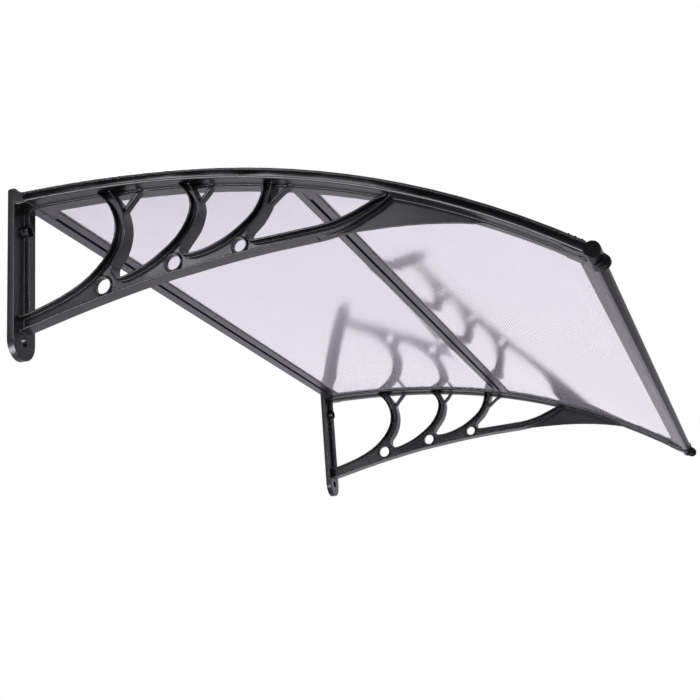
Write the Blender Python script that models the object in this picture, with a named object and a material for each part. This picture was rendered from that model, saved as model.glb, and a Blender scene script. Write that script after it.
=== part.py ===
"""Door canopy: a curved twin-wall sheet on two moulded wall brackets, with three extruded rails.

Metres, +Z up. The wall is the plane y = 0 and the canopy reaches out towards -Y. The origin lies on
the wall, midway between the brackets, at the height of their upper fixing holes. A side outline is
given as (forward, up), where forward is the distance from the wall.
"""
from math import atan, cos, pi, radians, sin, sqrt

import bmesh
import bpy
from mathutils import Matrix, Vector

# The arch that everything follows: the top line of the cover strips
BRACKET_SPACING = 1.150
PROJECTION = 0.725
ARCH_HEIGHT = 0.0463
ARCH_DROP = 0.210
WALL_SLOPE = 0.014
FRONT_SLOPE = 0.707
ARCH_STEPS = 22

# Faces that turn less than this are one flat face
FLATNESS = radians(0.3)

# Gap between pieces that touch
CLEARANCE = 0.0003

# Layers of the bracket's arched member, from the top down
MEMBER_WIDTH = 0.0494
STRIP_THICKNESS = 0.003
STRIP_ROUNDING = 0.001
SHEET_THICKNESS = 0.006
BASE_THICKNESS = 0.0038
BASE_CHAMFER = 0.0018
LIP_WIDTH = 0.003
RIB_DEPTH = 0.003
PAD_THICKNESS = 0.001
PAD_LENGTH = 0.017
PAD_INSET = 0.0005
PAD_FRONT_GAP = 0.003

# Ribbed truss under the arch
TRUSS_HEIGHT = 0.1828
WEB_THICKNESS = 0.0036
FLANGE_WIDTH = 0.0232
FLANGE_THICKNESS = 0.0024
BRANCH_WIDTH = 0.010
RING_WIDTH = 0.0095
RING_WALL = 0.0024
# Where the web ends and where its front rib starts, as shares of the projection
WEB_END = 0.985
FRONT_RIB_START = 0.87

# Wall plate with its fixing holes
PLATE_THICKNESS = 0.0101
PLATE_TOP = 0.054
PLATE_CORNER = 0.003
FIXING_SPACING = 0.149
FIXING_HOLE = 0.0125
BOSS_DIAMETER = 0.017
BOSS_LENGTH = 0.0184
PLATE_WEB = 0.0181
WEB_FILLET = 0.007
HEAD_LENGTH = 0.0136
CROWN_STEP = 0.001

# Front knuckle with its nose
KNUCKLE_RADIUS = 0.010
KNUCKLE_AHEAD = 0.0097
KNUCKLE_DEPTH = 0.0059
SOCKET_WALL = 0.0011
SOCKET_DEPTH = 0.012
NOSE_WIDTH = 0.006
NOSE_RADIUS = 0.0084
NOSE_REACH = 0.0118
NOSE_ANGLE = radians(45)
NOSE_BEVEL = 0.0024
NOSE_BEVEL_START = 0.0018

# Rails
RAIL_WIDTH = 0.0305
RAIL_SLOT = 0.0055
RAIL_WALL = 0.0013
RAIL_TOP_FLANGE = 0.0014
RAIL_BOTTOM_FLANGE = 0.002
REAR_RAIL_PLACE = 0.0268
MIDDLE_RAIL_PLACE = 0.3923
TONGUE_REACH = 0.025
BEAD_WALL = 0.0016
FRONT_GROOVE = 0.012

# Twin-wall sheet
SKIN_THICKNESS = 0.0007
FLUTE_WALL = 0.0005
FLUTE_PITCH = 0.0054
PANEL_PLAY = 0.0005
# Length over which a panel eases from the brackets' arch to a straight line between its rails
PANEL_EASE = 0.150

# Wall seal
SEAL_THICKNESS = 0.002
SEAL_RISE = 0.006
SEAL_LIP = 0.004

# Cover strip fittings
SCREW_SHARES = (0.10, 0.28, 0.46, 0.68, 0.90)
SCREW_SHANK = 0.003
SCREW_BITE = 0.0027
SCREW_HEAD = 0.008
SCREW_HEAD_HEIGHT = 0.0022
SCREW_SLOT = 0.0012
GRIP_RADIUS = 0.0018
GRIP_RISE = 0.0008
GRIP_START = 0.004
GRIP_PITCH = 0.0068
GRIP_COUNT = 3

# Depths below the arch that follow from the layers
SHEET_TOP = STRIP_THICKNESS + CLEARANCE
SHEET_BOTTOM = SHEET_TOP + SHEET_THICKNESS
BASE_TOP = SHEET_BOTTOM + CLEARANCE
BASE_BOTTOM = BASE_TOP + BASE_THICKNESS
BASE_CORE = BASE_TOP + 0.75 * BASE_THICKNESS
HALF_MEMBER = MEMBER_WIDTH / 2
HALF_SPACING = BRACKET_SPACING / 2
HALF_RAIL = HALF_SPACING - HALF_MEMBER - CLEARANCE
SCREW_LENGTH = BASE_TOP + SCREW_BITE
SOCKET_RADIUS = KNUCKLE_RADIUS - SOCKET_WALL
BEAD_RADIUS = SOCKET_RADIUS - CLEARANCE
SHEET_FRONT = KNUCKLE_AHEAD - KNUCKLE_RADIUS - CLEARANCE
CHANNEL_HALF = RAIL_SLOT / 2 + RAIL_WALL

# Turns a flat outline drawn as (forward, up) into the side view, extruded along X
SIDE = Matrix(((0, 0, -1, 0), (-1, 0, 0, 0), (0, 1, 0, 0), (0, 0, 0, 1)))
# Turns a flat outline drawn as (x, up) into the front view, extruded along Y
FRONT = Matrix(((1, 0, 0, 0), (0, 0, -1, 0), (0, 1, 0, 0), (0, 0, 0, 1)))


def clear_scene():
    for item in list(bpy.data.objects):
        bpy.data.objects.remove(item, do_unlink=True)


def new_collection(name):
    group = bpy.data.collections.new(name)
    bpy.context.scene.collection.children.link(group)
    return group


def new_material(name, colour, roughness, metallic=0.0, alpha=1.0):
    material = bpy.data.materials.new(name)
    material.use_nodes = True
    shader = material.node_tree.nodes["Principled BSDF"]
    shader.inputs["Base Color"].default_value = (*colour, 1.0)
    shader.inputs["Roughness"].default_value = roughness
    shader.inputs["Metallic"].default_value = metallic
    shader.inputs["Alpha"].default_value = alpha
    return material


# The arch: a cubic from its height and slope at the wall to those at its front end

def arch_slope(forward):
    t = min(forward / PROJECTION, 1.0)
    rate = 6 * (t - t * t) * ARCH_DROP
    rate += (3 * t * t - 4 * t + 1) * WALL_SLOPE * PROJECTION
    rate += (3 * t * t - 2 * t) * FRONT_SLOPE * PROJECTION
    return rate / PROJECTION


def on_arch(forward, depth=0.0, along=0.0):
    """The point at a depth square to the arch, moved along it from a distance to the wall."""
    t = min(forward / PROJECTION, 1.0)
    fall = (3 * t * t - 2 * t ** 3) * ARCH_DROP
    fall += (t ** 3 - 2 * t * t + t) * WALL_SLOPE * PROJECTION
    fall += (t ** 3 - t * t) * FRONT_SLOPE * PROJECTION
    angle = atan(arch_slope(forward))
    onward = Vector((cos(angle), -sin(angle)))
    downward = Vector((-sin(angle), -cos(angle)))
    return Vector((t * PROJECTION, ARCH_HEIGHT - fall)) + along * onward + depth * downward


def place_on_arch(forward, up):
    """How far from the wall the arch's point lies that is square above a given point."""
    place = forward
    for _ in range(8):
        place = forward + (on_arch(place).y - up) * arch_slope(place)
    return place


def arch_line(start, end, depth, beyond=0.0):
    """Points along the arch at one depth, on a grid that every layer shares."""
    grid = [PROJECTION * step / ARCH_STEPS for step in range(ARCH_STEPS + 1)]
    places = [start] + [place for place in grid if start + 0.002 < place < end - 0.002] + [end]
    line = [on_arch(place, depth) for place in places]
    if beyond:
        line.append(on_arch(end, depth, beyond))
    return line


def in_truss(points):
    """Truss points: forward as a share of the projection, down as a share of the truss's height."""
    placed = []
    for forward, down in points:
        level = on_arch(forward * PROJECTION)
        placed.append(Vector((level.x, level.y - down * TRUSS_HEIGHT)))
    return placed


def into_member(share):
    """A point inside the arched member, where a strut ends."""
    return on_arch(share * PROJECTION, BASE_CORE)


def smooth(points, steps=2):
    """A curve through the points (Catmull-Rom)."""
    chain = [2 * points[0] - points[1]] + points + [2 * points[-1] - points[-2]]
    curve = []
    for a, b, c, d in zip(chain, chain[1:], chain[2:], chain[3:]):
        for step in range(steps):
            t = step / steps
            bend = (2 * a - 5 * b + 4 * c - d) * t * t + (3 * b - a - 3 * c + d) * t ** 3
            curve.append((2 * b + (c - a) * t + bend) / 2)
    return curve + [points[-1]]


def beside(path, distance):
    """The path moved sideways, to the right of the way it runs."""
    moved = []
    for index, point in enumerate(path):
        way = (path[min(index + 1, len(path) - 1)] - path[max(index - 1, 0)]).normalized()
        moved.append(point + distance * Vector((way.y, -way.x)))
    return moved


def arc(centre, radius, start, end, steps):
    angles = [start + (end - start) * step / steps for step in range(steps + 1)]
    return [centre + radius * Vector((cos(angle), sin(angle))) for angle in angles]


# Solids

def add_object(name, mesh, collection, material=None):
    solid = bpy.data.objects.new(name, mesh)
    collection.objects.link(solid)
    if material:
        mesh.materials.clear()
        mesh.materials.append(material)
    if collection is tools:
        solid.hide_render = True
        solid.display_type = "WIRE"
    return solid


def curve_to_mesh(curve, matrix):
    """The curve's solid as a mesh with its caps welded on."""
    carrier = bpy.data.objects.new("carrier", curve)
    bpy.context.scene.collection.objects.link(carrier)
    graph = bpy.context.evaluated_depsgraph_get()
    mesh = bpy.data.meshes.new_from_object(carrier.evaluated_get(graph))
    bpy.data.objects.remove(carrier)
    mesh.transform(matrix)
    work = bmesh.new()
    work.from_mesh(mesh)
    bmesh.ops.remove_doubles(work, verts=work.verts, dist=0.000001)
    bmesh.ops.recalc_face_normals(work, faces=work.faces)
    work.to_mesh(mesh)
    work.free()
    return mesh


def slab(name, outlines, width, collection, matrix=SIDE, material=None):
    """Flat outlines, the first with the rest as holes in it, extruded to a width about their plane."""
    curve = bpy.data.curves.new(name, "CURVE")
    curve.dimensions = "2D"
    curve.fill_mode = "BOTH"
    curve.extrude = width / 2
    for outline in outlines:
        spline = curve.splines.new("POLY")
        spline.points.add(len(outline) - 1)
        for point, place in zip(spline.points, outline):
            point.co = (place.x, place.y, 0.0, 1.0)
        spline.use_cyclic_u = True
    return add_object(name, curve_to_mesh(curve, matrix), collection, material)


def skin(name, rings, collection, material=None):
    """A closed solid through rings of places, all with as many corners."""
    work = bmesh.new()
    rings = [[work.verts.new(place) for place in ring] for ring in rings]
    for ring, following in zip(rings, rings[1:]):
        for corner in range(len(ring)):
            after = (corner + 1) % len(ring)
            work.faces.new((ring[corner], ring[after], following[after], following[corner]))
    work.faces.new(rings[0])
    work.faces.new(rings[-1])
    bmesh.ops.recalc_face_normals(work, faces=work.faces)
    mesh = bpy.data.meshes.new(name)
    work.to_mesh(mesh)
    work.free()
    return add_object(name, mesh, collection, material)


def sweep(name, section, path, collection, material=None):
    """A section of (x, depth) points carried along a side path, depth to the right of its way."""
    rings = []
    for index, point in enumerate(path):
        way = (path[min(index + 1, len(path) - 1)] - path[max(index - 1, 0)]).normalized()
        depth_way = Vector((way.y, -way.x))
        rings.append([side_point(point + depth * depth_way, x) for x, depth in section])
    return skin(name, rings, collection, material)


def ribbon(name, path, width, thickness, collection, shift=0.0):
    """A flat bar along a side path, its thickness to the right of the way it runs."""
    half = width / 2
    section = [(-half, shift), (half, shift), (half, shift + thickness), (-half, shift + thickness)]
    return sweep(name, section, path, collection)


def rod(name, radius, start, end, collection, sides=24, material=None):
    """A cylinder between two points."""
    axis = Vector(end) - Vector(start)
    turn = axis.to_track_quat("Z", "Y").to_matrix().to_4x4()
    matrix = Matrix.Translation((Vector(start) + Vector(end)) / 2) @ turn
    work = bmesh.new()
    bmesh.ops.create_cone(work, cap_ends=True, segments=sides, radius1=radius, radius2=radius,
                          depth=axis.length, matrix=matrix)
    mesh = bpy.data.meshes.new(name)
    work.to_mesh(mesh)
    work.free()
    return add_object(name, mesh, collection, material)


def side_point(point, x=0.0):
    """A side view's (forward, up) as a place."""
    return Vector((x, -point.x, point.y))


def combine(solid, others, operation):
    """Unites the others with the solid, or cuts them out of it, as modifiers."""
    for other in others:
        step = solid.modifiers.new(other.name, "BOOLEAN")
        step.operation = operation
        step.solver = "MANIFOLD"
        step.object = other


def bake(solid):
    """The solid's mesh with its modifiers applied."""
    bpy.context.view_layer.update()
    graph = bpy.context.evaluated_depsgraph_get()
    mesh = bpy.data.meshes.new_from_object(solid.evaluated_get(graph))
    work = bmesh.new()
    work.from_mesh(mesh)
    bmesh.ops.remove_doubles(work, verts=work.verts, dist=0.000002)
    bmesh.ops.dissolve_degenerate(work, edges=work.edges, dist=0.000002)
    bmesh.ops.dissolve_limit(work, angle_limit=FLATNESS, verts=work.verts, edges=work.edges)
    bmesh.ops.triangulate(work, faces=work.faces)
    work.to_mesh(mesh)
    work.free()
    return mesh


def soften(solid, angle=radians(32)):
    """Smooth shading on round surfaces, with sharp edges kept."""
    solid.data.shade_smooth()
    solid.data.set_sharp_from_angle(angle=angle)


# Places that several pieces share

def knuckle_centre():
    return on_arch(PROJECTION, KNUCKLE_DEPTH, KNUCKLE_AHEAD)


def head_front():
    """Where the bracket's solid head ends and its cover strip starts."""
    return PLATE_THICKNESS + HEAD_LENGTH


def rail_groove(place, way):
    """How far from the wall a panel's edge lies that sits in an H rail, on the side that way gives."""
    return place + way * (CHANNEL_HALF + PANEL_PLAY) * cos(atan(arch_slope(place)))


def rail_mouth(place, reach, way):
    """How far from the wall a panel comes free of a groove that reaches that far from its place."""
    angle = atan(arch_slope(place))
    lower = BASE_BOTTOM * sin(angle) if way < 0 else 0.0
    return place + way * (reach * cos(angle) + lower + PANEL_PLAY)


def screw_places():
    return [share * PROJECTION for share in SCREW_SHARES]


def screw_axis(forward, top, bottom, x=0.0):
    """The two ends of a screw's bore, square to the arch, from one depth to another."""
    return side_point(on_arch(forward, top), x), side_point(on_arch(forward, bottom), x)


# Truss outlines. Each runs with its opening on the left and the bracket's material on the right.

def rear_opening():
    """Lower chord's top and the first strut's wall side."""
    points = in_truss([(0.005, 0.901), (0.045, 0.866), (0.095, 0.802), (0.136, 0.722), (0.165, 0.633),
                       (0.187, 0.532), (0.200, 0.426), (0.203, 0.323), (0.198, 0.233), (0.186, 0.145)])
    return smooth(points + [into_member(0.166)])


def second_opening():
    """Down the first strut, round the drop shape at its foot and up the second strut."""
    points = in_truss([(0.215, 0.181), (0.222, 0.273), (0.224, 0.364), (0.219, 0.465), (0.209, 0.552),
                       (0.197, 0.614), (0.196, 0.666), (0.203, 0.707), (0.216, 0.710), (0.242, 0.672),
                       (0.267, 0.621), (0.292, 0.551), (0.318, 0.460), (0.338, 0.346), (0.347, 0.231),
                       (0.341, 0.140)])
    return smooth([into_member(0.196)] + points + [into_member(0.324)])


def third_opening():
    """Down the second strut, round its foot and up the third strut."""
    points = in_truss([(0.364, 0.189), (0.363, 0.286), (0.353, 0.390), (0.336, 0.481), (0.327, 0.536),
                       (0.330, 0.571), (0.340, 0.578), (0.357, 0.566), (0.381, 0.531), (0.408, 0.473),
                       (0.434, 0.396), (0.461, 0.289), (0.477, 0.171)])
    return smooth([into_member(0.350)] + points + [into_member(0.486)])


def front_opening():
    """Down the third strut, round its foot and along the low front strut to its tip."""
    points = in_truss([(0.498, 0.106), (0.487, 0.227), (0.470, 0.337), (0.453, 0.409), (0.449, 0.451),
                       (0.452, 0.479), (0.461, 0.484), (0.496, 0.451), (0.551, 0.388), (0.593, 0.329),
                       (0.633, 0.240), (0.673, 0.122)])
    return smooth([into_member(0.504)] + points + [into_member(0.700)])


def underside():
    """The lower chord's underside, from the front strut's end back to the wall."""
    points = in_truss([(0.676, 0.182), (0.650, 0.265), (0.624, 0.341), (0.595, 0.396), (0.568, 0.438),
                       (0.490, 0.528), (0.414, 0.610), (0.345, 0.682), (0.276, 0.747), (0.207, 0.816),
                       (0.138, 0.884), (0.069, 0.952), (0.007, 1.011)])
    return smooth([into_member(0.710)] + points)


def front_web_edge():
    """The bare web's lower edge, from the underside's low point to the rib at the front."""
    points = in_truss([(0.568, 0.432), (0.621, 0.374), (0.690, 0.287), (0.750, 0.212), (0.807, 0.145)])
    return smooth(points + [on_arch((FRONT_RIB_START - 0.01) * PROJECTION, BASE_BOTTOM + RIB_DEPTH)])


BRANCHES = (
    # thickness, truss points, share of the projection at which it meets the arched member
    (0.0055, ((0.215, 0.231), (0.233, 0.147)), 0.252),
    (0.0045, ((0.361, 0.202), (0.377, 0.131)), 0.390),
    (0.0040, ((0.490, 0.216), (0.513, 0.122)), 0.537),
)

RINGS = (
    # truss point, bore radius
    ((0.172, 0.749), 0.0107),
    ((0.307, 0.626), 0.0099),
    ((0.430, 0.515), 0.0087),
)


def opening_hole(path):
    """The web's hole for an opening: it ends inside the flange and inside the arched member."""
    hole = beside(path, FLANGE_THICKNESS / 2)
    back = arch_line(hole[0].x, hole[-1].x, BASE_CORE)
    return hole + back[-2:0:-1]


def rear_hole():
    """The web's hole behind the first strut, with the wall plate's web left standing."""
    hole = [Vector((max(point.x, PLATE_WEB), point.y)) for point in beside(rear_opening(),
                                                                           FLANGE_THICKNESS / 2)]
    corner = on_arch(PLATE_WEB + WEB_FILLET, BASE_BOTTOM)
    centre = Vector((corner.x, corner.y - WEB_FILLET))
    rib_end = on_arch(hole[-1].x, BASE_CORE)
    back = arch_line(corner.x, rib_end.x, BASE_BOTTOM)
    return hole[1:] + back[-2:0:-1] + arc(centre, WEB_FILLET, pi / 2, pi, 4)


def web_outline():
    """The whole web plate, inside the arched member at the top and inside the flange below."""
    start = PLATE_THICKNESS / 2
    end = WEB_END * PROJECTION
    top = arch_line(start, end, BASE_TOP + 0.25 * BASE_THICKNESS)
    edge = front_web_edge()
    low = [point for point in beside(underside(), FLANGE_THICKNESS / 2) if start < point.x < edge[0].x]
    rib = arch_line(FRONT_RIB_START * PROJECTION, end, BASE_BOTTOM + RIB_DEPTH)
    return top + rib[::-1] + edge[::-1] + low + [Vector((start, low[-1].y))]


def member_section():
    """The arched member: a base with chamfered lower edges and a lip outside the sheet."""
    half = HALF_MEMBER
    chamfer = BASE_BOTTOM - BASE_CHAMFER
    return [(-half, BASE_TOP), (-half, chamfer), (-half + BASE_CHAMFER, BASE_BOTTOM),
            (half - BASE_CHAMFER, BASE_BOTTOM), (half, chamfer), (half, SHEET_TOP),
            (half - LIP_WIDTH, SHEET_TOP), (half - LIP_WIDTH, BASE_TOP)]


def bracket_members():
    """The solids that one bracket is moulded from, about its own middle plane, outer side at +X."""
    start = PLATE_THICKNESS - 0.002
    reach = KNUCKLE_AHEAD - KNUCKLE_RADIUS / 2
    top_line = arch_line(start, PROJECTION, 0.0, beyond=reach)
    members = [sweep("arched_member", member_section(), top_line, tools)]
    rib_line = arch_line(start, PROJECTION, BASE_CORE, beyond=reach)
    rib_depth = BASE_BOTTOM + RIB_DEPTH - BASE_CORE
    members.append(ribbon("rib", rib_line, WEB_THICKNESS, rib_depth, tools))
    pads = ((PLATE_THICKNESS, PLATE_THICKNESS + PAD_LENGTH),
            (PROJECTION - PAD_FRONT_GAP - PAD_LENGTH, PROJECTION - PAD_FRONT_GAP))
    for index, (rear, front) in enumerate(pads):
        line = arch_line(rear, front, BASE_CORE)
        width = MEMBER_WIDTH - 2 * (BASE_CHAMFER + PAD_INSET)
        depth = BASE_BOTTOM + PAD_THICKNESS - BASE_CORE
        members.append(ribbon(f"pad_{index}", line, width, depth, tools))
    paths = (rear_opening(), second_opening(), third_opening(), front_opening(), underside())
    for index, path in enumerate(paths):
        members.append(ribbon(f"flange_{index}", path, FLANGE_WIDTH, FLANGE_THICKNESS, tools))
    for index, (thickness, points, end) in enumerate(BRANCHES):
        path = smooth(in_truss(points) + [into_member(end)])
        members.append(ribbon(f"branch_{index}", path, BRANCH_WIDTH, thickness, tools,
                              shift=-thickness / 2))
    for index, (place, bore) in enumerate(RINGS):
        centre = in_truss([place])[0]
        members.append(rod(f"ring_{index}", bore + RING_WALL, side_point(centre, -RING_WIDTH / 2),
                           side_point(centre, RING_WIDTH / 2), tools))
    return members + wall_members() + front_members() + [tongue("rear_tongue", REAR_RAIL_PLACE),
                                                         tongue("middle_tongue", MIDDLE_RAIL_PLACE)]


def wall_members():
    """The wall plate with its round lug, the boss round the upper fixing hole and the solid head."""
    half = HALF_MEMBER
    top = PLATE_TOP - PLATE_CORNER
    lug = arc(Vector((0.0, -FIXING_SPACING)), half, pi, 2 * pi, 20)
    outline = [Vector((half, top)), Vector((-half, top))] + lug
    plate = slab("wall_plate", [outline], PLATE_THICKNESS, tools, FRONT)
    plate.data.transform(Matrix.Translation((0.0, -PLATE_THICKNESS / 2, 0.0)))
    boss = rod("boss", BOSS_DIAMETER / 2, (0.0, -PLATE_THICKNESS / 2, 0.0), (0.0, -BOSS_LENGTH, 0.0), tools)
    outline = arc(Vector((PLATE_CORNER, top)), PLATE_CORNER, pi, pi / 2, 4) + crown()
    outline += [on_arch(head_front(), 0.0), on_arch(head_front(), BASE_CORE)]
    outline += [Vector((0.0, on_arch(0.0, BASE_CORE).y))]
    return [plate, boss, slab("head", [outline], MEMBER_WIDTH, tools)]


def crown():
    """The plate's top edge and the hollow curve from it down to the arched member."""
    foot = on_arch(head_front(), 0.0)
    middle = (PLATE_TOP + foot.y) / 2
    return [Vector((PLATE_THICKNESS - CROWN_STEP, PLATE_TOP)),
            Vector((PLATE_THICKNESS + CROWN_STEP, PLATE_TOP - CROWN_STEP)),
            Vector((PLATE_THICKNESS + 0.3 * HEAD_LENGTH, middle)),
            Vector((PLATE_THICKNESS + 0.6 * HEAD_LENGTH, foot.y + CROWN_STEP))]


def front_members():
    """The knuckle that holds the front rail's bead, and the nose in front of it."""
    centre = knuckle_centre()
    knuckle = rod("knuckle", KNUCKLE_RADIUS, side_point(centre, -HALF_MEMBER),
                  side_point(centre, HALF_MEMBER), tools, sides=32)
    return [knuckle, nose(centre)]


def nose(root):
    """A round-ended tab below the knuckle, bevelled on both sides of its rear face."""
    down = Vector((cos(NOSE_ANGLE), -sin(NOSE_ANGLE)))
    ahead = Vector((sin(NOSE_ANGLE), cos(NOSE_ANGLE)))
    tip = root + NOSE_REACH * down
    outline = arc(tip, NOSE_RADIUS, pi / 2 - NOSE_ANGLE, -pi / 2 - NOSE_ANGLE, 14)
    outline += [root - NOSE_RADIUS * ahead, root + NOSE_RADIUS * ahead]
    rearward = Vector((-1.0, -1.0)).normalized()
    rings = []
    for share, bevel in ((-1.0, True), (-1.0, False), (1.0, False), (1.0, True)):
        x = share * (NOSE_WIDTH / 2 - (0.0 if bevel else NOSE_BEVEL))
        ring = []
        for point in outline:
            past = max(0.0, (point - tip).dot(rearward) - NOSE_BEVEL_START) if bevel else 0.0
            ring.append(side_point(point - past * rearward, x))
        rings.append(ring)
    return skin("nose", rings, tools)


def tongue(name, place):
    """A bar on the arched member's base that plugs into an H rail's slot."""
    half = RAIL_SLOT / 2 - CLEARANCE
    rail_top = STRIP_THICKNESS + CLEARANCE
    bottom = BASE_TOP + RAIL_BOTTOM_FLANGE - CLEARANCE
    outline = [on_arch(place, rail_top, -half), on_arch(place, rail_top, half),
               on_arch(place, bottom, half), on_arch(place, bottom, -half)]
    reach = HALF_MEMBER + TONGUE_REACH
    bar = slab(name, [outline], reach, tools)
    bar.data.transform(Matrix.Translation((-reach / 2, 0.0, 0.0)))
    return bar


def bracket_bores():
    """Everything that is cut out of a bracket."""
    bores = []
    for index, level in enumerate((0.0, -FIXING_SPACING)):
        bores.append(rod(f"fixing_bore_{index}", FIXING_HOLE / 2, (0.0, 0.01, level),
                         (0.0, -BOSS_LENGTH - 0.01, level), tools))
    for index, (place, bore) in enumerate(RINGS):
        centre = in_truss([place])[0]
        bores.append(rod(f"ring_bore_{index}", bore, side_point(centre, -FLANGE_WIDTH),
                         side_point(centre, FLANGE_WIDTH), tools))
    centre = knuckle_centre()
    bores.append(rod("socket", SOCKET_RADIUS, side_point(centre, -HALF_MEMBER - 0.01),
                     side_point(centre, -HALF_MEMBER + SOCKET_DEPTH), tools, sides=32))
    for index, forward in enumerate(screw_places()):
        ends = screw_axis(forward, SHEET_TOP, SCREW_LENGTH + CLEARANCE)
        bores.append(rod(f"screw_bore_{index}", SCREW_SHANK / 2 + CLEARANCE, *ends, tools, sides=10))
    return bores


def build_brackets():
    outlines = [web_outline(), rear_hole(), opening_hole(second_opening()), opening_hole(third_opening()),
                opening_hole(front_opening())]
    web = slab("web", outlines, WEB_THICKNESS, tools)
    combine(web, bracket_members(), "UNION")
    combine(web, bracket_bores(), "DIFFERENCE")
    right = bake(web)
    left = right.copy()
    left.transform(Matrix.Scale(-1.0, 4, (1.0, 0.0, 0.0)))
    left.flip_normals()
    for name, mesh, side in (("left_bracket", left, -1), ("right_bracket", right, 1)):
        material = new_material(name, (0.012, 0.012, 0.013), 0.42)
        bracket = add_object(name, mesh, parts, material)
        bracket.location.x = side * HALF_SPACING
        soften(bracket)


# Cover strips and their screws

def build_cover_strips():
    half = HALF_MEMBER
    section = [(-half, STRIP_THICKNESS), (-half, STRIP_ROUNDING), (-half + STRIP_ROUNDING, 0.0),
               (half - STRIP_ROUNDING, 0.0), (half, STRIP_ROUNDING), (half, STRIP_THICKNESS)]
    start = head_front() + CLEARANCE
    line = arch_line(start, PROJECTION, 0.0)
    line[-1] = on_arch(PROJECTION, 0.0, SHEET_FRONT)
    grips = []
    for index in range(GRIP_COUNT):
        away = GRIP_START + index * GRIP_PITCH
        for place in (start + away, PROJECTION - away):
            centre = on_arch(place, GRIP_RADIUS - GRIP_RISE)
            grips.append(rod("grip", GRIP_RADIUS, side_point(centre, -half + STRIP_ROUNDING),
                             side_point(centre, half - STRIP_ROUNDING), tools, sides=10))
    bores = []
    for forward in screw_places():
        ends = screw_axis(forward, -0.005, STRIP_THICKNESS + 0.005)
        bores.append(rod("strip_bore", SCREW_SHANK / 2 + CLEARANCE, *ends, tools, sides=10))
    pattern = sweep("strip", section, line, tools)
    combine(pattern, grips, "UNION")
    combine(pattern, bores, "DIFFERENCE")
    mesh = bake(pattern)
    for name, side in (("left_cover_strip", -1), ("right_cover_strip", 1)):
        material = new_material(name, (0.016, 0.016, 0.017), 0.38)
        strip = add_object(name, mesh.copy(), parts, material)
        strip.location.x = side * HALF_SPACING
        soften(strip)


def screw_mesh():
    """A pan-head screw, head upwards, its head's seat at the origin."""
    head = SCREW_HEAD / 2
    shank = SCREW_SHANK / 2
    length = SCREW_LENGTH + CLEARANCE
    height = SCREW_HEAD_HEIGHT
    profile = [(0.0, height), (head * 0.7, height * 0.8), (head, 0.0), (shank, 0.0),
               (shank, -length + shank), (0.0, -length)]
    work = bmesh.new()
    verts = [work.verts.new((x, 0.0, z)) for x, z in profile]
    for upper, lower in zip(verts, verts[1:]):
        work.edges.new((upper, lower))
    bmesh.ops.spin(work, geom=work.verts[:] + work.edges[:], cent=(0, 0, 0), axis=(0, 0, 1),
                   angle=2 * pi, steps=12, use_merge=True)
    bmesh.ops.remove_doubles(work, verts=work.verts, dist=0.000001)
    bmesh.ops.recalc_face_normals(work, faces=work.faces)
    mesh = bpy.data.meshes.new("screw")
    work.to_mesh(mesh)
    work.free()
    return mesh


def build_screws():
    """Five screws along each strip, square to the arch, with a driver slot in each head."""
    body = add_object("screw", screw_mesh(), tools)
    slot = bpy.data.meshes.new("slot")
    work = bmesh.new()
    bmesh.ops.create_cube(work, size=1.0)
    bmesh.ops.scale(work, vec=(SCREW_HEAD * 0.7, SCREW_SLOT, SCREW_HEAD_HEIGHT), verts=work.verts)
    bmesh.ops.translate(work, vec=(0, 0, SCREW_HEAD_HEIGHT), verts=work.verts)
    work.to_mesh(slot)
    work.free()
    combine(body, [add_object("slot", slot, tools)], "DIFFERENCE")
    mesh = bake(body)
    material = new_material("screws", (0.55, 0.55, 0.56), 0.3, metallic=1.0)
    for side_name, side in (("left", -1), ("right", 1)):
        for index, forward in enumerate(screw_places()):
            seat = on_arch(forward, -CLEARANCE)
            screw = add_object(f"{side_name}_screw_{index + 1}", mesh.copy(), parts, material)
            screw.location = side_point(seat, side * HALF_SPACING)
            screw.rotation_euler.x = atan(arch_slope(forward))
            soften(screw)


# Panels

def flutes(start, end):
    """The open channels between a panel's skins, from wall side to front."""
    channels = []
    forward = start
    top = SHEET_TOP + SKIN_THICKNESS
    bottom = SHEET_BOTTOM - SKIN_THICKNESS
    pitch = FLUTE_PITCH * cos(atan(arch_slope(forward)))
    while forward + pitch < end:
        left = forward + FLUTE_WALL
        right = forward + pitch
        channels.append([on_arch(left, top), on_arch(right, top), on_arch(right, bottom),
                         on_arch(left, bottom)])
        forward += pitch
        pitch = FLUTE_PITCH * cos(atan(arch_slope(forward)))
    return channels


def panel_line(start, free, end, depth):
    """A panel's line along the arch, with points where its free part between the rails begins and ends."""
    line = [start, *free, end]
    stretches = [arch_line(a, b, depth) for a, b in zip(line, line[1:])]
    return stretches[0] + stretches[1][1:] + stretches[2][1:]


def straighten(mesh, free):
    """Eases the free part of a panel's middle down to a straight line between its rails."""
    rear, front = [on_arch(place) for place in free]
    work = bmesh.new()
    work.from_mesh(mesh)
    for x in (-HALF_RAIL, PANEL_EASE - HALF_RAIL, HALF_RAIL - PANEL_EASE, HALF_RAIL):
        bmesh.ops.bisect_plane(work, geom=work.verts[:] + work.edges[:] + work.faces[:],
                               plane_co=(x, 0, 0), plane_no=(1, 0, 0))
    for vert in work.verts:
        place = place_on_arch(-vert.co.y, vert.co.z)
        if rear.x < place < front.x:
            line = rear.lerp(front, (place - rear.x) / (front.x - rear.x))
            eased = min(max(HALF_RAIL - abs(vert.co.x), 0.0) / PANEL_EASE, 1.0)
            vert.co.z -= eased * (on_arch(place).y - line.y)
    bmesh.ops.triangulate(work, faces=work.faces)
    work.to_mesh(mesh)
    work.free()


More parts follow.
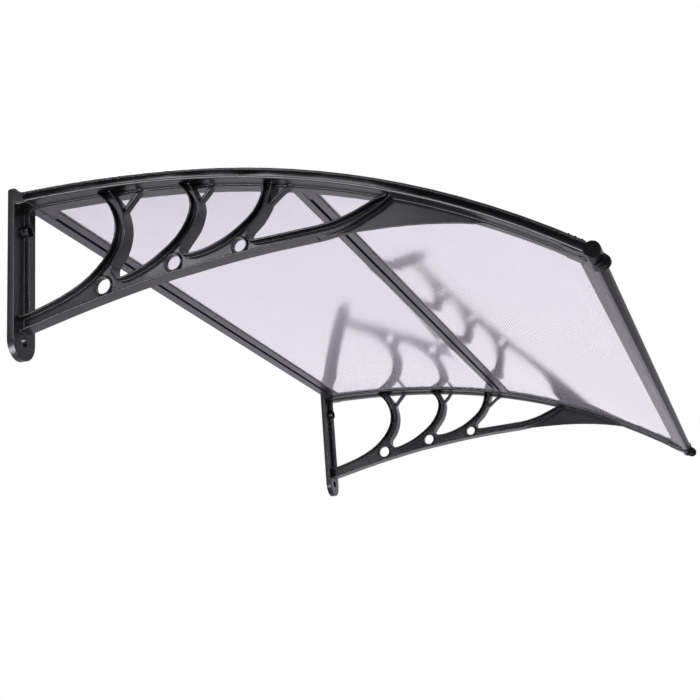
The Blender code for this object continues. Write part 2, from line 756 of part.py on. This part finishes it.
def build_panel(name, start, free, end, front_end=None):
    """One twin-wall sheet, held to the arch by the brackets, that reaches under both cover strips."""
    top = panel_line(start, free, end, SHEET_TOP)
    bottom = panel_line(start, free, end, SHEET_BOTTOM)
    if front_end is not None:
        top[-1] = on_arch(end, SHEET_TOP, front_end)
        bottom[-1] = on_arch(end, SHEET_BOTTOM, front_end)
    width = BRACKET_SPACING + MEMBER_WIDTH - 2 * (LIP_WIDTH + CLEARANCE)
    channels = flutes(start + SKIN_THICKNESS, end - 2 * SKIN_THICKNESS)
    material = new_material(name, (0.86, 0.87, 0.90), 0.12, alpha=0.4)
    panel = slab(name, [top + bottom[::-1]] + channels, width, parts, material=material)
    straighten(panel.data, free)
    bores = []
    for forward in screw_places():
        if start < forward < end:
            for side in (-1, 1):
                ends = screw_axis(forward, SHEET_TOP - 0.004, SHEET_BOTTOM + 0.004, side * HALF_SPACING)
                bores.append(rod("panel_bore", SCREW_SHANK / 2 + CLEARANCE, *ends, tools, sides=10))
    combine(panel, bores, "DIFFERENCE")


# Rails

def h_rail_outline(place):
    """An H section with a slot up its middle from below, square to the arch at its place."""
    half = RAIL_WIDTH / 2
    top = SHEET_TOP - CLEARANCE - RAIL_TOP_FLANGE
    under_top = SHEET_TOP - CLEARANCE
    low = BASE_TOP
    bottom = BASE_TOP + RAIL_BOTTOM_FLANGE
    slot = RAIL_SLOT / 2
    corners = [(-half, top), (half, top), (half, under_top), (CHANNEL_HALF, under_top),
               (CHANNEL_HALF, low), (half, low), (half, bottom), (slot, bottom), (slot, under_top),
               (-slot, under_top), (-slot, bottom), (-half, bottom), (-half, low),
               (-CHANNEL_HALF, low), (-CHANNEL_HALF, under_top), (-half, under_top)]
    return [on_arch(place, depth, along) for along, depth in corners]


def aluminium(name):
    return new_material(name, (0.42, 0.42, 0.45), 0.35, metallic=0.9)


def build_h_rails():
    for name, place in (("rear_rail", REAR_RAIL_PLACE), ("middle_rail", MIDDLE_RAIL_PLACE)):
        slab(name, [h_rail_outline(place)], 2 * HALF_RAIL, parts, material=aluminium(name))


def build_front_rail():
    """A groove for the front panel's edge with a hollow bead, longer than the groove, ahead of it."""
    overlap = 0.002
    reach = KNUCKLE_AHEAD - sqrt(BEAD_RADIUS ** 2 - (BASE_TOP - KNUCKLE_DEPTH) ** 2) + overlap
    upper_reach = KNUCKLE_AHEAD - sqrt(BEAD_RADIUS ** 2 - (KNUCKLE_DEPTH - STRIP_THICKNESS) ** 2) + overlap
    jaws = []
    for name, depth, thickness, end in (("upper_jaw", SHEET_TOP - CLEARANCE - RAIL_TOP_FLANGE,
                                         RAIL_TOP_FLANGE, upper_reach),
                                        ("lower_jaw", BASE_TOP, RAIL_BOTTOM_FLANGE, reach)):
        corners = ((-FRONT_GROOVE, depth), (end, depth), (end, depth + thickness),
                   (-FRONT_GROOVE, depth + thickness))
        outline = [on_arch(PROJECTION, down, along) for along, down in corners]
        jaws.append(slab(name, [outline], 2 * HALF_RAIL, tools))
    centre = knuckle_centre()
    half = HALF_RAIL + SOCKET_DEPTH - CLEARANCE
    bead = rod("front_rail", BEAD_RADIUS, side_point(centre, -half), side_point(centre, half), parts,
               sides=32, material=aluminium("front_rail"))
    bore = rod("bead_bore", BEAD_RADIUS - BEAD_WALL, side_point(centre, -half - 0.01),
               side_point(centre, half + 0.01), tools, sides=32)
    combine(bead, jaws, "UNION")
    combine(bead, [bore], "DIFFERENCE")
    soften(bead)


def build_wall_seal():
    """A rubber strip held in the rear rail's rear groove, with a lip that bears on the wall."""
    rear = -RAIL_WIDTH / 2
    front = -CHANNEL_HALF - PANEL_PLAY
    root = [on_arch(REAR_RAIL_PLACE, SHEET_TOP, front), on_arch(REAR_RAIL_PLACE, SHEET_BOTTOM, front),
            on_arch(REAR_RAIL_PLACE, SHEET_BOTTOM, rear - CLEARANCE)]
    upper = on_arch(REAR_RAIL_PLACE, SHEET_TOP, rear - CLEARANCE)
    lip_level = upper.y + SEAL_RISE
    lip = [Vector((SEAL_LIP, root[2].y + SEAL_RISE / 3)), Vector((0.0, lip_level - SEAL_THICKNESS)),
           Vector((0.0, lip_level)), Vector((SEAL_LIP, upper.y + SEAL_THICKNESS / 2))]
    outline = root + lip + [upper]
    material = new_material("wall_seal", (0.02, 0.02, 0.02), 0.7)
    slab("wall_seal", [outline], 2 * HALF_RAIL, parts, material=material)


clear_scene()
parts = new_collection("door_canopy")
tools = new_collection("cutters")
build_brackets()
build_cover_strips()
build_screws()
build_panel("rear_panel", rail_groove(REAR_RAIL_PLACE, 1),
            (rail_mouth(REAR_RAIL_PLACE, RAIL_WIDTH / 2, 1),
             rail_mouth(MIDDLE_RAIL_PLACE, RAIL_WIDTH / 2, -1)),
            rail_groove(MIDDLE_RAIL_PLACE, -1))
build_panel("front_panel", rail_groove(MIDDLE_RAIL_PLACE, 1),
            (rail_mouth(MIDDLE_RAIL_PLACE, RAIL_WIDTH / 2, 1), rail_mouth(PROJECTION, FRONT_GROOVE, -1)),
            PROJECTION, SHEET_FRONT)
build_h_rails()
build_front_rail()
build_wall_seal()
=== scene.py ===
"""Looks of the polycarbonate door canopy: moulded brackets, twin-wall sheets, rails and screws."""

from math import atan, cos, pi, radians

import bmesh
import bpy
import numpy as np
from mathutils import Matrix, Vector
from mathutils.bvhtree import BVHTree


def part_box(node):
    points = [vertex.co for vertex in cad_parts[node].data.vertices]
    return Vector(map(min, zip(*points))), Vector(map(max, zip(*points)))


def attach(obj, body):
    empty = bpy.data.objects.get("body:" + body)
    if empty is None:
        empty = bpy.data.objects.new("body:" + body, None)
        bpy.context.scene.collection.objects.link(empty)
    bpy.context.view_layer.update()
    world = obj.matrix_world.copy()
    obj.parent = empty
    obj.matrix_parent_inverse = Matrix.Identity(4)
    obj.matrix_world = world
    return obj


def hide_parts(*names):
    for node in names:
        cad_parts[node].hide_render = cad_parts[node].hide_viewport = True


# Camera at the photograph's viewing angle
CAMERA_PLACE = (-1.88386, -0.86865, -0.65266)
CAMERA_RIGHT = (0.33031, -0.94116, -0.07155)
CAMERA_UP = (-0.25344, -0.16144, 0.95378)
CAMERA_LENS = 64.70
SENSOR_WIDTH = 36.0
NEAREST_SEEN = 0.05
FARTHEST_SEEN = 50.0

# Studio
FLOOR_LEVEL = -0.95
FLOOR_RADIUS = 9.0
FLOOR_SIDES = 96
STUDIO_TINT = (0.97, 0.94, 1.0)
MATT_LIGHT = 0.90
GLOSS_LIGHT = 0.95
DARK_LIGHT = 0.02
# Where the studio's dark side begins and is full, towards the left and upwards
DARK_TOWARD = (-1.0, 0.1, 0.0)
DARK_SIDE = (0.10, 0.55)
DARK_RISE = (0.26, 0.40)

# The arch and the flutes, as the solids have them
PROJECTION = 0.725
ARCH_DROP = 0.210
WALL_SLOPE = 0.014
FRONT_SLOPE = 0.707
FLUTE_PITCH = 0.0054
SKIN_THICKNESS = 0.0007

# Corners of the solids' triangles that are closer than this are one
MERGE_DISTANCE = 0.000002

# Edges of the moulded pieces
MOULD_EDGE = 0.0009
STRIP_EDGE = 0.0003
SHORTEST_EDGE = 0.0003
FLATNESS = radians(0.6)
SHARP_ANGLE = radians(34)

# The plain bands along both sides of a bracket's arched member
BAND_SIDES = (0.5503, 0.5997)
BAND_DEPTH = 0.0003
BAND_START = -0.0237
SQUARE_ON = 0.99

# The lines across the canopy where the noses and the front rail's bead begin
NOSE_START = -0.7240
# The front rail's painted shade on its bead starts at the bead's line.
BEAD_START = -0.7305

# Gloss and relief
# The lavender tints on the reflections stand in for the studio light's tint: painted colour of light.
BLACK_GLOSS = (0.95, 0.93, 1.0, 1.0)
PALE_GLOSS = (0.93, 0.90, 1.0, 1.0)
GRAIN_RELIEF = 0.0001
FLUTE_RELIEF = 0.0002


# Materials

def new_group(name, inputs, outputs):
    """A shader node group with named inputs and outputs, and its two end nodes."""
    group = bpy.data.node_groups.new(name, "ShaderNodeTree")
    for label, kind, value in inputs:
        socket = group.interface.new_socket(label, in_out="INPUT", socket_type=kind)
        if value is not None:
            socket.default_value = value
    for label, kind in outputs:
        group.interface.new_socket(label, in_out="OUTPUT", socket_type=kind)
    return group, group.nodes.new("NodeGroupInput"), group.nodes.new("NodeGroupOutput")


def new_surface(name, scale, roughness):
    """A group for a surface with its scale and roughness, which gives height, roughness and tone."""
    return new_group(name, (
        ("Coordinates", "NodeSocketVector", None), ("Scale", "NodeSocketFloat", scale),
        ("Base Roughness", "NodeSocketFloat", roughness)), (
        ("Height", "NodeSocketFloat"), ("Roughness", "NodeSocketFloat"), ("Tone", "NodeSocketFloat")))


def node(tree, kind, links=None, **settings):
    """A node with its settings, its inputs set from plain values or linked from sockets."""
    made = tree.nodes.new(kind)
    for key, value in settings.items():
        setattr(made, key, value)
    for label, value in (links or {}).items():
        if isinstance(value, bpy.types.NodeSocket):
            tree.links.new(value, made.inputs[label])
        else:
            made.inputs[label].default_value = value
    return made


def vary(group, base, pattern, least, most):
    """A roughness that a pattern raises and lowers a little."""
    spread = node(group, "ShaderNodeMapRange", {
        "Value": pattern, "From Min": 0.3, "From Max": 0.7, "To Min": least, "To Max": most})
    varied = node(group, "ShaderNodeMath", {0: base, 1: spread.outputs["Result"]}, operation="ADD")
    return varied.outputs["Value"]


def spark_grain():
    """The fine grain of a moulding and its soft flow marks."""
    group, start, end = new_surface("spark_grain", scale=1800.0, roughness=0.4)
    grain = node(group, "ShaderNodeTexNoise", {
        "Vector": start.outputs["Coordinates"], "Scale": start.outputs["Scale"],
        "Detail": 2.0, "Roughness": 0.6})
    flow = node(group, "ShaderNodeTexNoise", {
        "Vector": start.outputs["Coordinates"], "Scale": 22.0, "Detail": 3.0, "Distortion": 0.6})
    rough = vary(group, start.outputs["Base Roughness"], flow.outputs["Fac"], -0.05, 0.06)
    group.links.new(grain.outputs["Fac"], end.inputs["Height"])
    group.links.new(rough, end.inputs["Roughness"])
    group.links.new(flow.outputs["Fac"], end.inputs["Tone"])
    return group


def drawn_lines():
    """Fine lines that an extrusion's die leaves along the canopy's width."""
    group, start, end = new_surface("drawn_lines", scale=900.0, roughness=0.3)
    stretched = node(group, "ShaderNodeMapping", {
        "Vector": start.outputs["Coordinates"], "Scale": (0.01, 1.0, 1.0)})
    lines = node(group, "ShaderNodeTexNoise", {
        "Vector": stretched.outputs["Vector"], "Scale": start.outputs["Scale"], "Detail": 2.0})
    tone = node(group, "ShaderNodeTexNoise", {
        "Vector": stretched.outputs["Vector"], "Scale": 160.0, "Detail": 2.0})
    rough = vary(group, start.outputs["Base Roughness"], lines.outputs["Fac"], -0.05, 0.05)
    group.links.new(lines.outputs["Fac"], end.inputs["Height"])
    group.links.new(rough, end.inputs["Roughness"])
    group.links.new(tone.outputs["Fac"], end.inputs["Tone"])
    return group


def flute_ribs():
    """The walls between a sheet's flutes as a mask for painted shade, and the slight hollow of the skin
    between them.
    """
    group, start, end = new_group("flute_ribs", (("Flute", "NodeSocketFloat", 0.0),),
                                  (("Wall", "NodeSocketFloat"), ("Height", "NodeSocketFloat")))
    turn = node(group, "ShaderNodeMath", {0: start.outputs["Flute"], 1: 2 * pi}, operation="MULTIPLY")
    wave = node(group, "ShaderNodeMath", {0: turn.outputs["Value"]}, operation="COSINE")
    wall = node(group, "ShaderNodeMapRange", {
        "Value": wave.outputs["Value"], "From Min": 0.55, "From Max": 1.0})
    height = node(group, "ShaderNodeMapRange", {
        "Value": wave.outputs["Value"], "From Min": -1.0, "From Max": 1.0})
    group.links.new(wall.outputs["Result"], end.inputs["Wall"])
    group.links.new(height.outputs["Result"], end.inputs["Height"])
    return group


def new_material(name, **values):
    """A material with its Principled shader's own sockets set, the tree and the shader."""
    material = bpy.data.materials.new(name)
    material.use_nodes = True
    tree = material.node_tree
    shader = tree.nodes["Principled BSDF"]
    for label, value in values.items():
        shader.inputs[label.replace("_", " ")].default_value = value
    return material, tree, shader


def mix_colours(tree, factor, first, second):
    """A colour between two others."""
    colour = node(tree, "ShaderNodeMix", {"Factor": factor}, data_type="RGBA")
    colour.inputs["A"].default_value = (*first, 1.0)
    colour.inputs["B"].default_value = (*second, 1.0)
    return colour.outputs["Result"]


def place_surface(tree, group, scale, roughness):
    """A surface group in a material, on the piece's own coordinates."""
    place = node(tree, "ShaderNodeTexCoord")
    return node(tree, "ShaderNodeGroup", {
        "Coordinates": place.outputs["Object"], "Scale": scale, "Base Roughness": roughness},
        node_tree=group)


def finish_surface(tree, shader, group, scale, roughness, bump, dark, light):
    """Gives a shader a surface group's roughness and bump, and its tone between two colours."""
    surface = place_surface(tree, group, scale, roughness)
    relief = node(tree, "ShaderNodeBump", {
        "Strength": bump, "Distance": GRAIN_RELIEF, "Height": surface.outputs["Height"]})
    colour = mix_colours(tree, surface.outputs["Tone"], dark, light)
    tree.links.new(colour, shader.inputs["Base Color"])
    tree.links.new(surface.outputs["Roughness"], shader.inputs["Roughness"])
    tree.links.new(relief.outputs["Normal"], shader.inputs["Normal"])


GRAIN = spark_grain()
LINES = drawn_lines()
RIBS = flute_ribs()


def black_moulding(name, roughness, shine, bump):
    """Black moulded plastic with a fine grain."""
    material, tree, shader = new_material(name, IOR=1.5, Specular_IOR_Level=shine,
                                          Specular_Tint=BLACK_GLOSS)
    finish_surface(tree, shader, GRAIN, scale=1800.0, roughness=roughness, bump=bump,
                   dark=(0.0030, 0.0030, 0.0033), light=(0.0050, 0.0050, 0.0055))
    return material


def dark_rail():
    """Dark coated aluminium with the die's lines; the dark coat is its own colour, its lavender cast is
    painted, standing in for the studio light's tint.
    """
    material, tree, shader = new_material("dark_rail", IOR=1.5, Specular_IOR_Level=0.25,
                                          Specular_Tint=PALE_GLOSS)
    finish_surface(tree, shader, LINES, scale=900.0, roughness=0.28, bump=0.15,
                   dark=(0.020, 0.017, 0.028), light=(0.032, 0.028, 0.044))
    return material


def bead_painted_shade():
    """The front rail's rounded bead, darker than its flat lip: painted shade, a darker and duller copy of
    the rail's finish.
    """
    material, tree, shader = new_material("bead_painted_shade", IOR=1.25, Specular_IOR_Level=0.1)
    finish_surface(tree, shader, LINES, scale=900.0, roughness=0.34, bump=0.10,
                   dark=(0.007, 0.006, 0.007), light=(0.013, 0.011, 0.013))
    return material


def clear_sheet():
    """Clear polycarbonate with a slight haze, its real flute walls showing as fine lines of painted shade.
    """
    material, tree, shader = new_material("clear_sheet", Transmission_Weight=0.3, IOR=2.1, Coat_Weight=1.0,
                                          Coat_Roughness=0.10, Coat_IOR=2.6, Specular_Tint=PALE_GLOSS)
    lines = place_surface(tree, LINES, scale=500.0, roughness=0.07)
    unrolled = node(tree, "ShaderNodeUVMap", uv_map="flutes")
    parted = node(tree, "ShaderNodeSeparateXYZ", {"Vector": unrolled.outputs["UV"]})
    ribs = node(tree, "ShaderNodeGroup", {"Flute": parted.outputs["Y"]}, node_tree=RIBS)
    relief = node(tree, "ShaderNodeBump", {
        "Strength": 0.2, "Distance": FLUTE_RELIEF, "Height": ribs.outputs["Height"]})
    # Painted shade: the base colour is darker along the flute walls.
    colour = mix_colours(tree, ribs.outputs["Wall"], (0.94, 0.90, 1.0), (0.80, 0.75, 0.88))
    tree.links.new(colour, shader.inputs["Base Color"])
    tree.links.new(lines.outputs["Roughness"], shader.inputs["Roughness"])
    tree.links.new(relief.outputs["Normal"], shader.inputs["Normal"])
    return material


def bright_screw():
    """Bright plated steel."""
    material, tree, shader = new_material("bright_screw", Metallic=1.0)
    finish_surface(tree, shader, GRAIN, scale=2600.0, roughness=0.28, bump=0.08,
                   dark=(0.50, 0.50, 0.51), light=(0.62, 0.62, 0.63))
    return material


def black_rubber():
    """Matt black rubber."""
    material, tree, shader = new_material("black_rubber", IOR=1.5)
    finish_surface(tree, shader, GRAIN, scale=900.0, roughness=0.72, bump=0.25,
                   dark=(0.012, 0.012, 0.012), light=(0.020, 0.020, 0.020))
    return material


# Pieces

def put(name, data):
    """A new object in the scene."""
    made = bpy.data.objects.new(name, data)
    bpy.context.scene.collection.objects.link(made)
    return made


def show(name, mesh, slot, *cad_nodes):
    """A new piece in place of CAD nodes, on the one body."""
    piece = put(name, mesh)
    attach(piece, "root")
    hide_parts(*cad_nodes)
    return piece


def merged_copy(cad_node):
    """A CAD node's form to work on, with its loose triangles joined."""
    work = bmesh.new()
    work.from_mesh(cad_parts[cad_node].data)
    bmesh.ops.remove_doubles(work, verts=work.verts, dist=MERGE_DISTANCE)
    return work


def finished_mesh(name, work, material):
    """The mesh of a form that is done, in its finish."""
    mesh = bpy.data.meshes.new(name)
    work.to_mesh(mesh)
    work.free()
    mesh.materials.append(material)
    return mesh


def ease_edges(work, edge, lowest, highest):
    """Rounds the corners, and brings back any that ran past the form they belong to."""
    form = BVHTree.FromBMesh(work)
    most_proud, most_astray = edge / 3, edge * 1.2
    corners = [line for line in work.edges if line.is_manifold and line.calc_face_angle() > SHARP_ANGLE]
    bmesh.ops.bevel(work, geom=corners, offset=edge, offset_type="OFFSET", affect="EDGES", segments=2,
                    profile=0.5, material=-1, clamp_overlap=False)
    for vert in work.verts:
        place, outward, _, distance = form.find_nearest(vert.co)
        if (vert.co - place).dot(outward) > most_proud or distance > most_astray:
            vert.co = place
        vert.co = Vector(np.clip(vert.co, lowest, highest))


def moulded_copy(name, cad_node, material, edge, slot):
    """The CAD node's own form with its corners eased as a mould leaves them."""
    work = merged_copy(cad_node)
    bmesh.ops.dissolve_degenerate(work, dist=SHORTEST_EDGE, edges=work.edges)
    bmesh.ops.dissolve_limit(work, angle_limit=FLATNESS, verts=work.verts, edges=work.edges)
    bmesh.ops.triangulate(work, faces=work.faces)
    ease_edges(work, edge, *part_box(cad_node))
    mesh = finished_mesh(name, work, material)
    mesh.shade_smooth()
    piece = show(name, mesh, slot, cad_node)
    flats = piece.modifiers.new("flat_faces", "WEIGHTED_NORMAL")
    flats.mode = "FACE_AREA"
    flats.weight = 100
    return piece


def refinish(piece, material, chosen):
    """Gives the chosen faces of a piece another finish."""
    piece.data.materials.append(material)
    last = len(piece.data.materials) - 1
    for face in piece.data.polygons:
        if chosen(face):
            face.material_index = last


def on_band(face):
    """Whether a face is in a plain side of the arched member, which comes smoother from the mould."""
    level = abs(face.normal.x) > SQUARE_ON and face.center.y < BAND_START
    return level and min(abs(abs(face.center.x) - side) for side in BAND_SIDES) < BAND_DEPTH


def ahead_of(start):
    """A test for the faces in front of a line across the canopy."""
    return lambda face: face.center.y < start


def arch_slope(forward):
    """How steeply the arch falls at a distance from the wall."""
    share = forward / PROJECTION
    rate = 6 * (share - share * share) * ARCH_DROP
    rate += (3 * share * share - 4 * share + 1) * WALL_SLOPE * PROJECTION
    rate += (3 * share * share - 2 * share) * FRONT_SLOPE * PROJECTION
    return rate / PROJECTION


def fluted_copy(name, cad_node, material, slot):
    """The CAD panel with a map that runs across it in metres and along it in flutes."""
    work = merged_copy(cad_node)
    lowest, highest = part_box(cad_node)
    walls = [-highest.y + SKIN_THICKNESS]
    while walls[-1] < -lowest.y:
        walls.append(walls[-1] + FLUTE_PITCH * cos(atan(arch_slope(walls[-1]))))
    unrolled = work.loops.layers.uv.new("flutes")
    for face in work.faces:
        for loop in face.loops:
            flute = np.interp(-loop.vert.co.y, walls, range(len(walls)))
            loop[unrolled].uv = (loop.vert.co.x, flute)
    mesh = finished_mesh(name, work, material)
    mesh.shade_smooth()
    mesh.set_sharp_from_angle(angle=SHARP_ANGLE)
    return show(name, mesh, slot, cad_node)


def dress(cad_node, material):
    """Gives a CAD node that stays its finish."""
    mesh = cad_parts[cad_node].data
    mesh.materials.clear()
    mesh.materials.append(material)


def build_brackets():
    """Both brackets with their smoother bands and darker noses, their cover strips and screws."""
    bracket_black = black_moulding("bracket_black", roughness=0.30, shine=0.30, bump=0.06)
    band_black = black_moulding("band_black", roughness=0.12, shine=0.22, bump=0.04)
    nose_black = black_moulding("nose_black", roughness=0.34, shine=0.05, bump=0.05)
    strip_black = black_moulding("strip_black", roughness=0.30, shine=0.28, bump=0.06)
    steel = bright_screw()
    for side in ("left", "right"):
        bracket = moulded_copy(f"{side}_bracket_moulding", f"{side}_bracket", bracket_black,
                               MOULD_EDGE, "bracket")
        refinish(bracket, band_black, on_band)
        refinish(bracket, nose_black, ahead_of(NOSE_START))
        moulded_copy(f"{side}_strip_moulding", f"{side}_cover_strip", strip_black, STRIP_EDGE, "strip")
        for index in range(1, 6):
            dress(f"{side}_screw_{index}", steel)


def build_rails():
    """The three rails, the front one with its bead darker in painted shade, and the wall seal."""
    finish = dark_rail()
    for rail in ("rear_rail", "middle_rail", "front_rail"):
        profile = moulded_copy(f"{rail}_profile", rail, finish, STRIP_EDGE, "rail")
    # The front rail's bead gets a darker copy of the rail's finish: painted shade.
    refinish(profile, bead_painted_shade(), ahead_of(BEAD_START))
    dress("wall_seal", black_rubber())


def build_sheets():
    """The two clear sheets between the rails."""
    finish = clear_sheet()
    for panel in ("rear_panel", "front_panel"):
        fluted_copy(f"{panel}_sheet", panel, finish, "sheet")


# Studio

def build_floor():
    """A pale matt floor that keeps the canopy's shadow and is white in gloss."""
    material, tree, shader = new_material("pale_floor", Roughness=0.9, Specular_IOR_Level=0.0)
    place = node(tree, "ShaderNodeTexCoord")
    speck = node(tree, "ShaderNodeTexNoise", {"Vector": place.outputs["Object"], "Scale": 3.0})
    pale = mix_colours(tree, speck.outputs["Fac"], (0.86, 0.85, 0.89), (0.88, 0.87, 0.91))
    tree.links.new(pale, shader.inputs["Base Color"])
    white = node(tree, "ShaderNodeEmission", {"Color": (*STUDIO_TINT, 1.0), "Strength": 1.0})
    mirrored = node(tree, "ShaderNodeMixShader", {
        "Fac": node(tree, "ShaderNodeLightPath").outputs["Is Glossy Ray"]})
    tree.links.new(shader.outputs["BSDF"], mirrored.inputs[1])
    tree.links.new(white.outputs["Emission"], mirrored.inputs[2])
    tree.links.new(mirrored.outputs["Shader"], tree.nodes["Material Output"].inputs["Surface"])
    work = bmesh.new()
    bmesh.ops.create_circle(work, cap_ends=True, segments=FLOOR_SIDES, radius=FLOOR_RADIUS,
                            matrix=Matrix.Translation((0.0, 0.0, FLOOR_LEVEL)))
    floor = put("studio_floor", finished_mesh("studio_floor", work, material))


def ramp(tree, value, limits):
    """Rises smoothly from 0 to 1 between two limits."""
    return node(tree, "ShaderNodeMapRange", {
        "Value": value, "From Min": limits[0], "From Max": limits[1]},
        interpolation_type="SMOOTHSTEP").outputs["Result"]


def choose(tree, factor, first, second):
    """The first value at a factor of 0, the second at 1."""
    return node(tree, "ShaderNodeMix", {"Factor": factor, "A": first, "B": second},
                data_type="FLOAT").outputs["Result"]


def build_world():
    """White to the camera and through the sheets; in gloss, white with a dark side high on the left."""
    world = bpy.data.worlds.new("studio")
    bpy.context.scene.world = world
    world.use_nodes = True
    tree = world.node_tree
    background = tree.nodes["Background"]
    rays = node(tree, "ShaderNodeLightPath")
    direction = node(tree, "ShaderNodeTexCoord").outputs["Generated"]
    toward = node(tree, "ShaderNodeVectorMath", {0: direction, 1: DARK_TOWARD}, operation="DOT_PRODUCT")
    rise = node(tree, "ShaderNodeSeparateXYZ", {"Vector": direction})
    dark = node(tree, "ShaderNodeMath", {
        0: ramp(tree, toward.outputs["Value"], DARK_SIDE), 1: ramp(tree, rise.outputs["Z"], DARK_RISE)},
        operation="MULTIPLY")
    studio = node(tree, "ShaderNodeMapRange", {
        "Value": dark.outputs["Value"], "To Min": GLOSS_LIGHT, "To Max": DARK_LIGHT})
    seen = node(tree, "ShaderNodeMath", {
        0: rays.outputs["Is Camera Ray"], 1: rays.outputs["Is Transmission Ray"]}, operation="MAXIMUM")
    level = choose(tree, rays.outputs["Is Glossy Ray"], MATT_LIGHT, studio.outputs["Result"])
    strength = choose(tree, seen.outputs["Value"], level, 1.0)
    tint = mix_colours(tree, rays.outputs["Is Glossy Ray"], (1.0, 1.0, 1.0), STUDIO_TINT)
    tree.links.new(tint, background.inputs["Color"])
    tree.links.new(strength, background.inputs["Strength"])


def add_lamp(name, place, aim, size, brightness, soft=False):
    """An area lamp: a soft one lights matt surfaces alone, any other shows in gloss alone."""
    light = bpy.data.lights.new(name, "AREA")
    light.shape = "RECTANGLE"
    light.size, light.size_y = size
    light.energy = brightness * pi * size[0] * size[1]
    lamp = put(name, light)
    lamp.location = place
    lamp.rotation_euler = (Vector(aim) - Vector(place)).to_track_quat("-Z", "Y").to_euler()
    lamp.visible_camera = False
    lamp.visible_transmission = False
    lamp.visible_diffuse = soft
    lamp.visible_glossy = not soft


def build_lamps():
    """One lamp for the matt surfaces, and four that draw the light lines along the near bracket."""
    near_bracket = (-0.575, -0.30, -0.05)
    add_lamp("top_lamp", (0.8, -1.6, 2.6), (0.0, -0.35, 0.0), (1.6, 1.6), 2.0, soft=True)
    add_lamp("rim_lamp", (-0.2, 0.8, 2.4), (-0.3, -0.30, 0.0), (2.4, 0.45), 24.0)
    add_lamp("side_lamp", (-2.36, 0.42, 0.66), near_bracket, (0.7, 0.26), 22.0)
    add_lamp("left_lamp", (-1.9, -1.6, 0.45), near_bracket, (1.2, 0.5), 22.0)
    add_lamp("low_lamp", (-1.25, 0.15, -0.85), near_bracket, (1.4, 0.6), 22.0)


def build_camera():
    """The camera, from its place and the directions of the picture's right and top."""
    data = bpy.data.cameras.new("photo_camera")
    data.lens = CAMERA_LENS
    data.sensor_width = SENSOR_WIDTH
    data.clip_start = NEAREST_SEEN
    data.clip_end = FARTHEST_SEEN
    camera = put("photo_camera", data)
    right, up = Vector(CAMERA_RIGHT), Vector(CAMERA_UP)
    turn = Matrix((right, up, right.cross(up))).transposed().to_4x4()
    camera.matrix_world = Matrix.Translation(CAMERA_PLACE) @ turn
    bpy.context.scene.camera = camera


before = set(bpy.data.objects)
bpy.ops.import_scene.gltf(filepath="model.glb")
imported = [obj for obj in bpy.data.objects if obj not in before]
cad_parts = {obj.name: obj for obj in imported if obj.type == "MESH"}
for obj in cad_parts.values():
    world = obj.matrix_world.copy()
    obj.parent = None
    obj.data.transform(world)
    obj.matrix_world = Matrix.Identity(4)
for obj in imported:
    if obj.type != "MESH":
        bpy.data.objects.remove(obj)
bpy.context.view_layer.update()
bpy.context.scene.view_settings.view_transform = "Standard"
build_brackets()
build_rails()
build_sheets()
build_floor()
build_world()
build_lamps()
build_camera()
